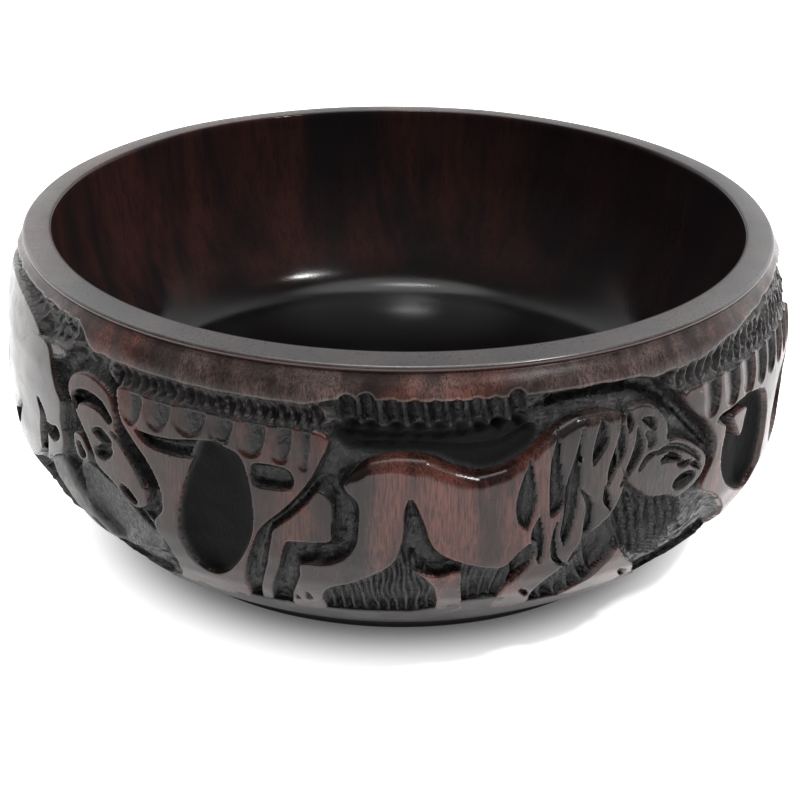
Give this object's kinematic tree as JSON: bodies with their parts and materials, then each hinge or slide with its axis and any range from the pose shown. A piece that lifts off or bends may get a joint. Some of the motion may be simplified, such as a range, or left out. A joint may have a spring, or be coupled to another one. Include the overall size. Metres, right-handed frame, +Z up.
{
  "type": "carved wooden bowl",
  "caption": "Round bowl of very dark wood with a flat polished lip and a deeply carved frieze of safari animals around the wall, on a low foot ring.",
  "frame": {"origin": "middle of the flat face of the foot ring that rests on the table", "axes": "+Z up through the mouth, -Y towards the lion at the front, +X to the right of the lion"},
  "size_m": [0.2286, 0.2286, 0.0944],
  "materials": {
    "dark_wood": "dark hardwood, polished inside and cut with a gouge on the carved ground",
    "polished_wood": "polished dark hardwood with fine vertical grain",
    "lip_wood": "waxed satin",
    "foot_wood": "plain turned, dull"
  },
  "bodies": {
    "root": {"bowl_floor": "dark_wood", "bowl_wall": "dark_wood", "rim_lip": "lip_wood", "collar_band": "polished_wood", "base_band": "polished_wood", "foot_ring": "foot_wood", "buffalo_left": "polished_wood", "buffalo_left_head": "polished_wood", "buffalo_left_ear": "polished_wood", "lion": "polished_wood", "lion_hind_paw": "polished_wood", "lion_fore_paw": "polished_wood", "lion_crown": "polished_wood", "buffalo_right": "polished_wood", "buffalo_right_head": "polished_wood", "rhino_body": "polished_wood", "antelope_body": "polished_wood", "antelope_horns": "polished_wood", "leopard": "polished_wood", "leopard_crown": "polished_wood", "elephant": "polished_wood", "elephant_face": "polished_wood"}
  },
  "joints": []
}
